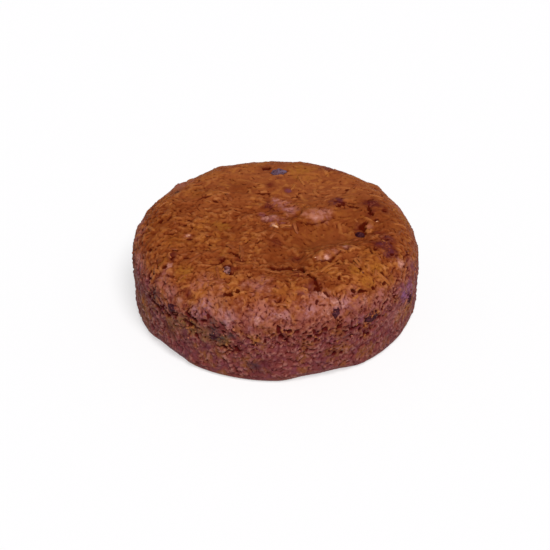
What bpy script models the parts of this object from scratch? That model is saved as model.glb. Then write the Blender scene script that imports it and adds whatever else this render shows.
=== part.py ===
"""A plain round carrot cake without icing, with raisins showing in its crust.

The cake is one solid: a flat base, an upright wall that the tin shaped, and a broad rounded shoulder
up to a top that has sunk to the right of its middle. Each raisin is a lumpy solid of its own, bedded
in a pocket in the crust. Lengths are in metres, +Z is up, and the origin is the middle of the base.
"""

from math import atan2, ceil, cos, degrees, exp, hypot, pi, radians, sin

import bmesh
import bpy
from mathutils import Matrix, Vector, noise

MM = 0.001

# The cake, baked in a 200 mm round tin
CAKE_RADIUS = 100.4 * MM
CAKE_HEIGHT = 66 * MM
SHOULDER_REACH = 27 * MM  # how far in from the wall the top starts to round over
SHOULDER_DROP = 26 * MM  # how far down the shoulder ends and the wall begins
BASE_RADIUS = 99.4 * MM
BASE_EDGE = 7.5 * MM  # radius of the rounded bottom edge
WALL_WAVE = 0.9 * MM  # how far the wall wanders in and out
TOP_WAVE = 0.8 * MM  # how far the top wanders up and down
WAVE_LENGTH = 34 * MM
WALL_WAVE_START = Vector((7, 0, 0))  # where in the noise the wall's waves are read, apart from the top's
CRUST_STEP = 5.6 * MM  # spacing of the crust's mesh
BASE_STEP = 18 * MM  # spacing of the flat base's mesh

# Swells and sinks of the top: middle x and y, reach along and across, turn in degrees, and height
TOP_SWELLS = (
    (34 * MM, -16 * MM, 34 * MM, 15 * MM, 18, -4.2 * MM),  # the hollow right of the middle
    (10 * MM, -47 * MM, 15 * MM, 17 * MM, -50, -2.6 * MM),  # the dip behind the crack
    (29 * MM, 17 * MM, 22 * MM, 13 * MM, 10, 1.6 * MM),  # the pad behind the hollow
    (38 * MM, -41 * MM, 21 * MM, 7 * MM, 24, 1.8 * MM),  # the lip in front of the hollow
    (11 * MM, -2 * MM, 7 * MM, 6 * MM, 0, 2.0 * MM),  # the knob beside the middle
    (-40 * MM, 22 * MM, 38 * MM, 30 * MM, 30, 1.2 * MM),  # the fuller left half
    (2 * MM, 76 * MM, 78 * MM, 26 * MM, 0, 1.3 * MM),  # the full back
)

# Stretches of the bottom edge that stuck to the tin and broke away: middle azimuth and half width in
# degrees, and how far the edge is lifted there
WORN_EDGES = (
    (-139, 11, 1.9 * MM),
    (-71, 13, 2.6 * MM),
    (118, 16, 2.4 * MM),  # from here on, round the back
    (20, 12, 2.0 * MM),
)
WORN_REACH = 8 * MM  # how far from the edge a worn stretch is felt

# Raisins: azimuth in degrees, travel from the top's middle over the crust, length, turn in degrees,
# and the share of the raisin that is sunk in the crust
RAISINS = (
    (88, 65 * MM, 13 * MM, 4, 0.76),  # at the back of the top
    (-11, 59 * MM, 9 * MM, 50, 0.78),
    (-119, 67 * MM, 9 * MM, -60, 0.80),
    (104, 23 * MM, 11 * MM, 20, 0.90),
    (19, 73 * MM, 11 * MM, 80, 0.92),
    (-21, 80 * MM, 14 * MM, 35, 0.92),
    (-23, 126 * MM, 11 * MM, 75, 0.84),  # on the right shoulder
    (-66, 102 * MM, 9 * MM, 70, 0.84),
    (-50, 116 * MM, 12 * MM, 12, 0.86),
    (-114, 120 * MM, 13 * MM, 40, 0.90),
    (-134, 111 * MM, 9 * MM, 15, 0.86),
    (176, 54 * MM, 8 * MM, -25, 0.92),
    (152, 119 * MM, 12 * MM, 60, 0.84),  # from here on, round the back
    (97, 127 * MM, 12 * MM, 10, 0.84),
    (48, 112 * MM, 13 * MM, -35, 0.82),
)
RAISIN_WIDTH = 0.72  # of its length
RAISIN_DEPTH = 0.56  # of its length
RAISIN_WRINKLE = 0.065  # of its radius
RAISIN_FOLDS = 5  # folds round its waist
RAISIN_CREASES = 2.2  # how fine the creases between the folds are
RAISIN_SIDES = 12
RAISIN_RINGS = 7
POCKET_GAP = 0.4 * MM


def clear_scene():
    for thing in list(bpy.data.objects):
        bpy.data.objects.remove(thing)


def plain_material(name, colour, roughness):
    material = bpy.data.materials.new(name)
    material.use_nodes = True
    shader = material.node_tree.nodes["Principled BSDF"]
    shader.inputs["Base Color"].default_value = (*colour, 1)
    shader.inputs["Roughness"].default_value = roughness
    shader.inputs["Metallic"].default_value = 0
    return material


def new_object(name, bm, material):
    bmesh.ops.recalc_face_normals(bm, faces=bm.faces)
    mesh = bpy.data.meshes.new(name)
    bm.to_mesh(mesh)
    bm.free()
    mesh.materials.append(material)
    mesh.shade_smooth()
    thing = bpy.data.objects.new(name, mesh)
    bpy.context.scene.collection.objects.link(thing)
    return thing


def stretches():
    """The profile from the top's middle to the base's middle: each stretch's length, the spacing of its
    mesh, and its shape, which gives the radius and the height at a share of the stretch."""
    flat = CAKE_RADIUS - SHOULDER_REACH
    wall_top = CAKE_HEIGHT - SHOULDER_DROP

    def top(share):
        return flat * share, CAKE_HEIGHT

    def shoulder(share):
        angle = share * pi / 2
        return flat + SHOULDER_REACH * sin(angle), wall_top + SHOULDER_DROP * cos(angle)

    def wall(share):
        return (
            CAKE_RADIUS + (BASE_RADIUS - CAKE_RADIUS) * share,
            wall_top + (BASE_EDGE - wall_top) * share,
        )

    def edge(share):
        angle = share * pi / 2
        return (
            BASE_RADIUS - BASE_EDGE * (1 - cos(angle)),
            BASE_EDGE * (1 - sin(angle)),
        )

    def base(share):
        return (BASE_RADIUS - BASE_EDGE) * (1 - share), 0.0

    return (
        (flat, CRUST_STEP, top),
        ((SHOULDER_REACH + SHOULDER_DROP) / 2 * pi / 2, CRUST_STEP, shoulder),
        (wall_top - BASE_EDGE, CRUST_STEP, wall),
        (BASE_EDGE * pi / 2, CRUST_STEP, edge),
        (BASE_RADIUS - BASE_EDGE, BASE_STEP, base),
    )


def profile(travel):
    """The radius and height after a distance over the crust from the top's middle."""
    for length, _, shape in stretches():
        if travel <= length:
            return shape(travel / length)
        travel -= length
    return 0.0, 0.0


def swell(x, y, bump):
    """How far one swell lifts the top at x, y."""
    middle_x, middle_y, along, across, turn, height = bump
    c, s = cos(radians(turn)), sin(radians(turn))
    u = (c * (x - middle_x) + s * (y - middle_y)) / along
    v = (c * (y - middle_y) - s * (x - middle_x)) / across
    return height * exp(-((u * u + v * v) ** 1.5))


def edge_wear(azimuth, radius, height):
    """How far a worn stretch of the bottom edge lifts a point of the crust."""
    from_edge = hypot(BASE_RADIUS - radius, height) / WORN_REACH
    lift = 0.0
    for middle, half_width, depth in WORN_EDGES:
        turn = (degrees(azimuth) - middle + 180) % 360 - 180
        lift += depth * exp(-((turn / half_width) ** 4))
    return lift * exp(-from_edge**2)


def crust_point(azimuth, travel):
    """A point of the crust: the plain profile, moved by the top's swells, by slow waves and by wear."""
    radius, height = profile(travel)
    x, y = radius * cos(azimuth), radius * sin(azimuth)
    spot = Vector((x, y, height)) / WAVE_LENGTH
    above_base = min(1.0, height / (2 * BASE_EDGE))
    on_top = max(0.0, min(1.0, (height - CAKE_HEIGHT + SHOULDER_DROP) / SHOULDER_DROP))
    swollen = sum(swell(x, y, bump) for bump in TOP_SWELLS)
    lift = on_top * (swollen + TOP_WAVE * noise.noise(spot))
    wear = edge_wear(azimuth, radius, height)
    wander = above_base * WALL_WAVE * noise.noise(spot + WALL_WAVE_START)
    push = 1 + (wander - wear / 2) / CAKE_RADIUS
    return Vector((x * push, y * push, height + lift + wear))


def crust_normal(azimuth, travel):
    """The outward direction at a point of the crust."""
    step = 1 * MM
    down = crust_point(azimuth, travel + step) - crust_point(azimuth, travel - step)
    turn = step / max(hypot(*crust_point(azimuth, travel).xy), step)
    round_ = crust_point(azimuth + turn, travel) - crust_point(azimuth - turn, travel)
    return down.cross(round_).normalized()


def ring_sizes():
    """The travel of each ring of crust points and how many points it has, kept evenly spaced."""
    rings, start = [], 0.0
    for length, step, shape in stretches():
        count = ceil(length / step)
        for i in range(1, count + 1):
            radius = shape(i / count)[0]
            sides = 6 * round(2 * pi * radius / step / 6)
            rings.append((start + length * i / count, max(sides, 6)))
        start += length
    return rings[:-1]


def stitch(bm, upper, lower):
    """Fills the strip between two closed rings of vertices with triangles."""
    i = j = 0
    while i < len(upper) or j < len(lower):
        a, b = upper[i % len(upper)], lower[j % len(lower)]
        if j == len(lower) or (i < len(upper) and (i + 1) * len(lower) <= (j + 1) * len(upper)):
            i += 1
            bm.faces.new((a, b, upper[i % len(upper)]))
        else:
            j += 1
            bm.faces.new((a, b, lower[j % len(lower)]))


def cap(bm, middle, ring):
    """Closes a ring round its middle point."""
    for a, b in zip(ring, ring[1:] + ring[:1]):
        bm.faces.new((middle, a, b))


def centre_on_base(bm):
    """Moves the crust so that the middle of its outline lies on the Z axis, and returns the move."""
    xs = [v.co.x for v in bm.verts]
    ys = [v.co.y for v in bm.verts]
    move = Vector((-(min(xs) + max(xs)) / 2, -(min(ys) + max(ys)) / 2, 0))
    bmesh.ops.translate(bm, verts=bm.verts, vec=move)
    return move


def make_cake(material):
    """The cake's one solid, from the top's middle over the wall to the base's middle."""
    bm = bmesh.new()
    rings = []
    for travel, sides in ring_sizes():
        points = [crust_point(2 * pi * k / sides, travel) for k in range(sides)]
        rings.append([bm.verts.new(p) for p in points])
    for upper, lower in zip(rings, rings[1:]):
        stitch(bm, upper, lower)
    cap(bm, bm.verts.new(crust_point(0, 0)), rings[0])
    cap(bm, bm.verts.new((0, 0, 0)), rings[-1])
    move = centre_on_base(bm)
    return new_object("carrot_cake", bm, material), move


def raisin_shape(length, grown_by):
    """A wrinkled, lumpy raisin lying along X, grown outwards by a given amount."""
    bm = bmesh.new()
    bmesh.ops.create_uvsphere(bm, u_segments=RAISIN_SIDES, v_segments=RAISIN_RINGS, radius=1)
    half = Vector((1, RAISIN_WIDTH, RAISIN_DEPTH)) * length / 2
    for v in bm.verts:
        angle = atan2(v.co.y, v.co.x)
        fold = cos(RAISIN_FOLDS * angle) * (1 - v.co.z**2)
        size = 1 + RAISIN_WRINKLE * (fold - abs(noise.noise(v.co * RAISIN_CREASES)))
        shape = Vector(c * h for c, h in zip(v.co, half)) * size
        v.co = shape + v.co * grown_by
    return bm


def raisin_place(azimuth, travel, length, turn, sunk):
    """Where a raisin lies: its flat side on the crust, turned, and sunk by a share of its depth."""
    normal = crust_normal(azimuth, travel)
    along = normal.cross(Vector((-cos(azimuth), -sin(azimuth), 1)).normalized()).normalized()
    across = normal.cross(along)
    lay = Matrix((along, across, normal)).transposed().to_4x4()
    depth = length * RAISIN_DEPTH
    middle = crust_point(azimuth, travel) + normal * depth * (0.5 - sunk)
    return Matrix.Translation(middle) @ lay @ Matrix.Rotation(radians(turn), 4, "Z")


def make_raisins(cake, move, material):
    """Each raisin, and the cutter that presses its pocket into the cake."""
    for number, (azimuth, travel, length, turn, sunk) in enumerate(RAISINS, start=1):
        lie = raisin_place(radians(azimuth), travel, length, turn, sunk)
        place = Matrix.Translation(move) @ lie
        raisin = new_object(f"raisin_{number:02d}", raisin_shape(length, 0), material)
        raisin.matrix_world = place
        pocket_shape = raisin_shape(length, POCKET_GAP)
        cutter = new_object(f"pocket_{number:02d}", pocket_shape, material)
        cutter.matrix_world = place
        cutter.hide_render = True
        cutter.display_type = "WIRE"
        pocket = cake.modifiers.new(cutter.name, "BOOLEAN")
        pocket.operation = "DIFFERENCE"
        pocket.solver = "EXACT"
        pocket.object = cutter


clear_scene()
crust = plain_material("crust", (0.28, 0.085, 0.022), 0.6)
raisin_skin = plain_material("raisin_skin", (0.035, 0.012, 0.012), 0.4)
cake_object, centring = make_cake(crust)
make_raisins(cake_object, centring, raisin_skin)
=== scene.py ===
"""Looks of a plain round carrot cake: its crust and raisins, what clings to them, and the light.

Lengths are in metres, +Z is up and the cake stands on Z = 0, as in the CAD frame.
"""

from itertools import product
from math import cos, pi, radians, sin

import bmesh
import bpy
import numpy as np
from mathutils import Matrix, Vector, kdtree, noise


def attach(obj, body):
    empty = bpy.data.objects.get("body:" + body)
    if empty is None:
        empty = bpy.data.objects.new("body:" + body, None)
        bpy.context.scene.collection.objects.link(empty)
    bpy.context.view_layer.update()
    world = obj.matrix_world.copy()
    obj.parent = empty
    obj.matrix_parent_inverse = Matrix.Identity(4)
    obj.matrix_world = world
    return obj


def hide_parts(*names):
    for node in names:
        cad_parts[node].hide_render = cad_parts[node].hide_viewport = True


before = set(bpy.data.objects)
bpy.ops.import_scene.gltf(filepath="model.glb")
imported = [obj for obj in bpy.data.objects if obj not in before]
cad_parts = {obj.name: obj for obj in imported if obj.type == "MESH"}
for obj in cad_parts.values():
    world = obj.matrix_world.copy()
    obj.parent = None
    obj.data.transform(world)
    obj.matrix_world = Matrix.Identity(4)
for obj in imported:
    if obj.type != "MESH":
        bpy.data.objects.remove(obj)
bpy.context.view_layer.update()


# ------------------------------------------------------------------------------
# The crust. One baked body of carrot crumb: the tin shaped the upright wall, and the top rose,
# browned and sank again. So the top is smooth with ridges of shred, and the wall is a torn crumb.
# ------------------------------------------------------------------------------

MM = 0.001
rng = np.random.default_rng(12)

# The form, as the CAD solid has it
CAKE_RADIUS = 100.4 * MM
CAKE_HEIGHT = 66 * MM
SHOULDER_REACH = 27 * MM
SHOULDER_DROP = 26 * MM
BASE_RADIUS = 99.4 * MM
BASE_EDGE = 7.5 * MM
WALL_WAVE = 0.9 * MM
TOP_WAVE = 0.8 * MM
WAVE_LENGTH = 34 * MM
WALL_WAVE_START = Vector((7, 0, 0))
# Swells and sinks of the top: middle x and y, reach along and across, turn in degrees, and height.
# Lengths are in mm here and in every table below, and angles in degrees.
TOP_SWELLS = (
    (34, -16, 34, 15, 18, -4.2),  # the hollow right of the middle
    (10, -47, 15, 17, -50, -2.6),  # the dip behind the crack
    (29, 17, 22, 13, 10, 1.6),  # the pad behind the hollow
    (38, -41, 21, 7, 24, 1.8),  # the lip in front of the hollow
    (11, -2, 7, 6, 0, 2.0),  # the knob beside the middle
    (-40, 22, 38, 30, 30, 1.2),  # the fuller left half
    (2, 76, 78, 26, 0, 1.3),  # the full back
)
# Worn stretches of the bottom edge: azimuth of the middle, half width as an angle, and lift
WORN_EDGES = ((-139, 11, 1.9), (-71, 13, 2.6), (118, 16, 2.4), (20, 12, 2.0))
WORN_REACH = 8 * MM

FLAT = CAKE_RADIUS - SHOULDER_REACH
WALL_TOP = CAKE_HEIGHT - SHOULDER_DROP
STRETCHES = (
    FLAT,
    (SHOULDER_REACH + SHOULDER_DROP) / 2 * pi / 2,
    WALL_TOP - BASE_EDGE,
    BASE_EDGE * pi / 2,
    BASE_RADIUS - BASE_EDGE,
)
TRAVELS = np.cumsum(STRETCHES)

# Spacing of the mesh at a few travels from the top's middle: finest where the crumb is open
SPACING_AT = np.array((0, 70, 95, 112, 140, 156, 164, 180, 250)) * MM
SPACING = np.array((1.0, 0.95, 0.82, 0.74, 0.76, 0.95, 3, 12, 20)) * MM


def smooth(values, low, high):
    """0 below low, 1 above high, and a soft step between."""
    share = np.clip((values - low) / (high - low), 0, 1)
    return share * share * (3 - 2 * share)


def profile(travel):
    """The radius and the height after a distance over the crust from the top's middle."""
    starts = TRAVELS - STRETCHES
    top, shoulder, wall, edge, base = (
        np.clip((travel - start) / length, 0, 1) for start, length in zip(starts, STRETCHES)
    )
    radius = (
        FLAT * top
        + SHOULDER_REACH * np.sin(shoulder * pi / 2)
        + (BASE_RADIUS - CAKE_RADIUS) * wall
        - BASE_EDGE * (1 - np.cos(edge * pi / 2))
        - (BASE_RADIUS - BASE_EDGE) * base
    )
    height = (
        CAKE_HEIGHT
        - SHOULDER_DROP * (1 - np.cos(shoulder * pi / 2))
        - (WALL_TOP - BASE_EDGE) * wall
        - BASE_EDGE * np.sin(edge * pi / 2)
    )
    return radius, height


def swell(x, y, middle_x, middle_y, along, across, turn):
    """How much of a swell reaches x, y: 1 in its middle, and 0 far away."""
    c, s = cos(radians(turn)), sin(radians(turn))
    aside, beyond = x - middle_x * MM, y - middle_y * MM
    u = (c * aside + s * beyond) / (along * MM)
    v = (c * beyond - s * aside) / (across * MM)
    return np.exp(-((u * u + v * v) ** 1.5))


def edge_wear(azimuth, radius, height):
    """How far the worn stretches of the bottom edge lift points of the crust."""
    from_edge = np.hypot(BASE_RADIUS - radius, height) / WORN_REACH
    lift = np.zeros_like(radius)
    for middle, half_width, depth in WORN_EDGES:
        turn = (np.degrees(azimuth) - middle + 180) % 360 - 180
        lift += depth * MM * np.exp(-((turn / half_width) ** 4))
    return lift * np.exp(-from_edge**2)


def slow_waves(points, start):
    spots = points / WAVE_LENGTH
    return np.array([noise.noise(Vector(p) + start) for p in spots])


def crust_points(azimuth, travel):
    """The CAD solid's crust: the plain profile, moved by swells, slow waves and wear."""
    radius, height = profile(travel)
    x, y = radius * np.cos(azimuth), radius * np.sin(azimuth)
    plain = np.stack((x, y, height), axis=1)
    above_base = np.clip(height / (2 * BASE_EDGE), 0, 1)
    on_top = np.clip((height - WALL_TOP) / SHOULDER_DROP, 0, 1)
    swollen = sum(height * MM * swell(x, y, *spread) for *spread, height in TOP_SWELLS)
    lift = on_top * (swollen + TOP_WAVE * slow_waves(plain, Vector()))
    wear = edge_wear(azimuth, radius, height)
    wander = above_base * WALL_WAVE * slow_waves(plain, WALL_WAVE_START)
    push = 1 + (wander - wear / 2) / CAKE_RADIUS
    return np.stack((x * push, y * push, height + lift + wear), axis=1)


def crust_rings():
    """The travel of each ring of points, and how many points it has."""
    rings, travel = [], SPACING[0]
    while travel < TRAVELS[-1]:
        step = np.interp(travel, SPACING_AT, SPACING)
        sides = 6 * round(2 * pi * profile(travel)[0] / step / 6)
        rings.append((travel, max(sides, 6)))
        travel += step
    return rings


def stitch(upper, lower):
    """Triangles that fill the strip between two closed rings of vertex numbers."""
    faces, i, j = [], 0, 0
    while i < len(upper) or j < len(lower):
        a, b = upper[i % len(upper)], lower[j % len(lower)]
        if j == len(lower) or (i < len(upper) and (i + 1) * len(lower) <= (j + 1) * len(upper)):
            i += 1
            faces.append((a, b, upper[i % len(upper)]))
        else:
            j += 1
            faces.append((a, b, lower[j % len(lower)]))
    return faces


def crust_net():
    """Azimuth and travel of every crust point, and the triangles between them."""
    azimuths, travels, faces, rings = [0.0], [0.0], [], []
    for travel, sides in crust_rings():
        start = len(azimuths)
        azimuths += [2 * pi * k / sides for k in range(sides)]
        travels += [travel] * sides
        rings.append(range(start, start + sides))
    azimuths.append(0.0)
    travels.append(TRAVELS[-1])
    for upper, lower in zip(rings, rings[1:]):
        faces += stitch(upper, lower)
    for middle, ring, step in ((0, rings[0], 1), (len(azimuths) - 1, rings[-1], -1)):
        turned = list(ring)[::step]
        faces += [(middle, a, b) for a, b in zip(turned, turned[1:] + turned[:1])]
    return np.array(azimuths), np.array(travels), np.array(faces)


def new_mesh(name, points, faces):
    mesh = bpy.data.meshes.new(name)
    mesh.from_pydata(points, [], faces)
    mesh.shade_smooth()
    return mesh


def store(mesh, name, values):
    mesh.attributes.new(name, "FLOAT", "POINT").data.foreach_set("value", values)


def normals_of(mesh):
    normals = np.empty(len(mesh.vertices) * 3, np.float32)
    mesh.vertex_normals.foreach_get("vector", normals)
    return normals.reshape(-1, 3).astype(float)


def tree_of(points):
    tree = kdtree.KDTree(len(points))
    for number, point in enumerate(points):
        tree.insert(point, number)
    tree.balance()
    return tree


azimuths, travels, crust_faces = crust_net()
places = crust_points(azimuths, travels)
off_centre = Vector((*(places[:, :2].min(axis=0) + places[:, :2].max(axis=0)) / 2, 0))
places -= off_centre
crust_mesh = new_mesh("crust", places, crust_faces)
outwards = normals_of(crust_mesh)
crust_tree = tree_of(places)

# Which crust points are neighbours: each edge runs one way in one triangle, and back in the next
edges = np.concatenate([crust_faces[:, pair] for pair in ((0, 1), (1, 2), (2, 0))])
edge_starts, edge_ends = edges.T
neighbour_counts = np.bincount(edge_starts)


def evened(values, rounds):
    """Values over the crust, averaged with their neighbours' a few times."""
    for _ in range(rounds):
        values = np.bincount(edge_starts, values[edge_ends]) / neighbour_counts
    return values


def spot_at(azimuth, travel):
    """The crust's point at an azimuth in degrees and a travel in mm."""
    return crust_points(np.radians([azimuth]), np.array([travel * MM]))[0] - np.array(off_centre)


heights = places[:, 2]
side = smooth(travels, 88 * MM, 120 * MM)  # 0 on the top, 1 on the wall
off_base = smooth(heights, 0.5 * MM, 5 * MM) * (travels < TRAVELS[3])
on_band = smooth(heights, 15 * MM, 24 * MM) * (1 - smooth(heights, 43 * MM, 52 * MM))

# Random directions at the corners of a lattice, for the lumpy noise
LATTICE = 4096
directions = rng.normal(size=(LATTICE, 3))
directions /= np.linalg.norm(directions, axis=1, keepdims=True)


def lumps(points, size, seed):
    """Soft random lumps of about the given size, from -1 to 1."""
    cell = points / size + seed * 17.3
    corner_of = np.floor(cell).astype(np.int64)
    inside = cell - corner_of
    fade = inside**3 * (inside * (inside * 6 - 15) + 10)
    total = np.zeros(len(points))
    for corner in product((0, 1), repeat=3):
        spot = corner_of + corner
        key = (spot[:, 0] * 73856093) ^ (spot[:, 1] * 19349663) ^ (spot[:, 2] * 83492791)
        slope = np.einsum("ij,ij->i", inside - corner, directions[key % LATTICE])
        total += slope * np.prod(np.where(corner, fade, 1 - fade), axis=1)
    return np.clip(total * 1.7, -1, 1)


def scatter(weights, count, spacing):
    """Numbers of crust points drawn by their weights, none nearer to another than the spacing."""
    drawn = rng.choice(len(weights), size=3 * count, replace=False, p=weights / weights.sum())
    taken, cells = [], {}
    for number in drawn:
        cell = tuple(np.floor(places[number] / spacing).astype(int))
        around = product(*(range(c - 1, c + 2) for c in cell))
        close = [n for spot in around for n in cells.get(spot, ())]
        if all(np.linalg.norm(places[n] - places[number]) > spacing for n in close):
            cells.setdefault(cell, []).append(number)
            taken.append(number)
            if len(taken) == count:
                break
    return np.array(taken)


# Every mark is measured from slightly shaken places, so that none has a clean outline
shake = np.stack([lumps(places, 2.6 * MM, 41 + axis) for axis in range(3)], axis=1)
shaken = places + 0.45 * MM * shake
wander_x = 1.3 * MM * lumps(places, 7 * MM, 31) + 0.5 * MM * lumps(places, 2.5 * MM, 33)
wander_y = 1.3 * MM * lumps(places, 7 * MM, 32) + 0.5 * MM * lumps(places, 2.5 * MM, 34)
wandered = places[:, :2] + np.stack((wander_x, wander_y), axis=1)
facing_up = smooth(outwards[:, 2], 0.1, 0.35)
grown = lumps(places, 5 * MM, 14)  # where a patch reaches less far


def marked(marks):
    """A ragged patch round each mark: the azimuth and travel of its middle, and its radius."""
    field = np.zeros(len(places))
    for azimuth, travel, radius in marks:
        away = np.linalg.norm(places - spot_at(azimuth, travel), axis=1) / (radius * MM)
        field = np.maximum(field, 1 - smooth(away + 0.35 * grown, 0.2, 1.15))
    return field


def axes_at(n, turn):
    """Unit vectors along and across a stroke on the crust at point n, turned from level."""
    normal = outwards[n]
    level = np.cross(normal, (0.3, 0.2, 1.0) if abs(normal[2]) < 0.9 else (0.0, 1.0, 0.0))
    level /= np.linalg.norm(level)
    along = level * cos(turn) + np.cross(normal, level) * sin(turn)
    return along, np.cross(normal, along)


def strokes(spots, turns, lengths, widths, bows, strengths, power=1.0):
    """The strongest of many short, bowed strokes at each crust point, and that stroke's number."""
    field = np.zeros(len(places))
    owner = np.zeros(len(places), int)
    marks = zip(spots, turns, lengths, widths, bows, strengths)
    for number, (n, turn, length, width, bow, strength) in enumerate(marks):
        along, across = axes_at(n, turn)
        within_reach = crust_tree.find_range(places[n], length / 2 + width)
        near = np.array([index for _, index, _ in within_reach])
        offset = shaken[near] - places[n]
        run = 2 * (offset @ along) / length
        aside = 2 * (offset @ across - bow * (1 - run**2)) / width
        shape = strength * np.clip(1 - aside**2 - run**4, 0, 1) ** power
        won = shape > field[near]
        field[near[won]] = shape[won]
        owner[near[won]] = number
    return field, owner


def line_field(line):
    """For each crust point seen from above: its distance left of a line, and its share along it."""
    points = np.array(line) * MM
    lengths = np.linalg.norm(np.diff(points, axis=0), axis=1)
    starts = np.concatenate(((0,), np.cumsum(lengths)))
    best = np.full(len(places), np.inf)
    signed = np.zeros(len(places))
    share = np.zeros(len(places))
    for a, b, length, start in zip(points, points[1:], lengths, starts):
        run = (b - a) / length
        offset = wandered - a
        along = np.clip(offset @ run, 0, length)
        away = np.linalg.norm(offset - along[:, None] * run, axis=1)
        left = np.sign(run[0] * offset[:, 1] - run[1] * offset[:, 0])
        closer = away < best
        best = np.where(closer, away, best)
        signed = np.where(closer, left * away, signed)
        share = np.where(closer, (start + along) / starts[-1], share)
    return signed, share


# Steps in the top, with the high side on the left of the line: its points, the rise, how far the
# front slopes back, and how dark the painted shade in the groove at its foot is
LEDGES = (
    (((8, 4), (12.5, -2), (18.5, -2.5), (28.5, 0), (37, 3), (41, 7), (41, 13)), 2.2, 10, 0.65),
    (((-10, 14), (-9, 4), (-5, -5), (1, -9), (9, -6)), 1.8, 7, 0.3),
    (((16, -50), (25, -49.5), (36, -49), (41, -43), (48, -34), (58, -28)), 2.2, 8, 0.85),
    (((42, 27), (52, 23), (62, 26)), 1.4, 4, 0.6),
    (((-64, 31), (-52, 24), (-38, 25), (-27, 31)), 1.2, 6, 0.0),
    (((-66, -14), (-50, -21), (-33, -19), (-20, -25)), 1.2, 6, 0.0),
    (((-50, 62), (-30, 55), (-12, 58)), 1.0, 6, 0.0),
)
LEDGE_BACK = 16 * MM  # how far behind its front the rise is lost again

# Cracks in the top: points, width, depth, and how far they close here and there
CRACKS = (
    (((-8, -56), (-4, -55.5), (4, -55), (11, -54.5), (16.5, -56.5), (20.5, -61)), 4.4, 3.2, 0.0),
    (((16, -56), (23, -65), (26, -71), (28, -76), (29, -82)), 3.2, 2.4, 0.35),
    (((49, -76), (53, -75), (59, -72)), 2.6, 2.2, 0.6),
    (((57.5, -5), (60.5, -2), (64, 2)), 3.2, 2.4, 0.0),
    (((-38, -55), (-37.5, -51), (-35, -47.7), (-31, -44)), 2.0, 1.4, 0.2),
    (((-32, -37), (-28, -40), (-23, -44.5)), 2.2, 1.6, 0.5),
    (((-38, -82), (-31, -81), (-23, -80)), 2.6, 2.4, 0.5),
    (((67, 25), (66, 16), (65.5, 8)), 2.2, 1.8, 0.4),
    (((40, 27), (46, 24), (51, 22)), 1.8, 1.2, 0.5),
    (((50, 20), (54, 18), (59, 17)), 1.8, 1.2, 0.5),
    (((57, -25), (62, -25), (68, -27)), 1.8, 1.3, 0.5),
    (((-16, 37), (-10, 36.5), (-3, 37.5)), 2.0, 1.4, 0.3),
)

relief = np.zeros(len(places))
# pit: where painted shade darkens the crust, in pits, holes, cracks, tears, the grooves at the feet
# of ledges and the gaps round raisins
pit = np.zeros(len(places))
broken = smooth(lumps(places, 5 * MM, 36), -0.5, 0.1)  # where drawn lines are open

for line, rise, slope, foot_shade in LEDGES:
    rise, slope = rise * MM, slope * MM
    left, share = line_field(line)
    taper = smooth(np.minimum(share, 1 - share), 0.0, 0.4) * facing_up
    front = smooth(left, -0.1 * slope, slope)
    relief += rise * taper * front * np.exp(-np.maximum(left - slope, 0) / LEDGE_BACK)
    # The groove at the foot, darkened with painted shade
    foot = np.exp(-(((left + 0.3 * MM) / (0.8 * MM)) ** 2))
    relief -= 0.25 * rise * taper * foot * foot_shade
    pit = np.maximum(pit, foot_shade * taper * (0.55 + 0.35 * broken) * foot)

for line, width, depth, closing in CRACKS:
    width, depth = width * MM, depth * MM
    left, share = line_field(line)
    open_here = smooth(np.minimum(share, 1 - share), 0.0, 0.2) * facing_up
    open_here = open_here * (1 - closing * (1 - broken))
    gap = np.clip(1 - (2 * left / (width * (0.6 + 0.5 * open_here))) ** 2, 0, 1)
    lip = np.exp(-(((left - 2.4 * MM) / (1.6 * MM)) ** 2))
    relief += open_here * depth * (0.2 * lip - gap)
    # The open gap is darkened with painted shade
    pit = np.maximum(pit, open_here * np.sqrt(gap))

# Bulges of the shoulder that show in its outline: azimuth, travel, radius and height
BULGES = ((140, 95, 6, 1.6), (39, 95, 6, 1.7), (118, 90, 5, 1.0), (-24, 124, 6, 1.1))
for azimuth, travel, radius, height in BULGES:
    away = np.linalg.norm(places - spot_at(azimuth, travel), axis=1) / (radius * MM)
    relief += height * MM * np.exp(-(away**2))

# Smooth skin, a little glazed, on the fronts of the ledges and pads, which also carries a pinkish
# painted highlight: azimuth, travel and radius
GLAZED = (
    (11, 21, 4), (9, 25, 4.5), (9, 29, 5), (11, 33, 5), (14, 37, 5), (-53, 57, 4.5), (-58, 55, 3),
    (-46, 57, 3.5), (-40, 58, 3), (-35, 60, 4), (152, 7, 3.5), (105, 4, 3), (-3, 65, 3),
    (-100, 5, 3), (90, 30, 3), (80, 27, 3), (57, 19, 4), (43, 13, 4), (-162, 63, 4), (-146, 88, 4),
    (-25, 96, 5), (-106, 77, 4), (-116, 82, 5), (-114, 89, 4), (-94, 80, 5), (-36, 58, 5),
    (19, 38, 4), (-105, 91, 4), (-52, 101, 5), (-70, 101, 5), (-118, 88, 3.5),
)
gloss_and_painted_highlight = marked(GLAZED) * smooth(lumps(places, 4 * MM, 35), -0.6, 0.2)

# The bed of the hollow is smoother than the rest, and the back of the top is a little smoother too
HOLLOW = (33, -17, 26, 11, 18)  # as a swell of the top, without its height
HOLLOW_DEPTH = 0.9 * MM
hollow = swell(places[:, 0], places[:, 1], *HOLLOW) * facing_up
relief -= HOLLOW_DEPTH * hollow
back = smooth(places[:, 1] + 0.4 * np.maximum(places[:, 0], 0), 5 * MM, 60 * MM)
calm = np.clip(0.7 * hollow + back * (1 - side), 0, 1)
rough = 1 - 0.6 * calm

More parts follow.
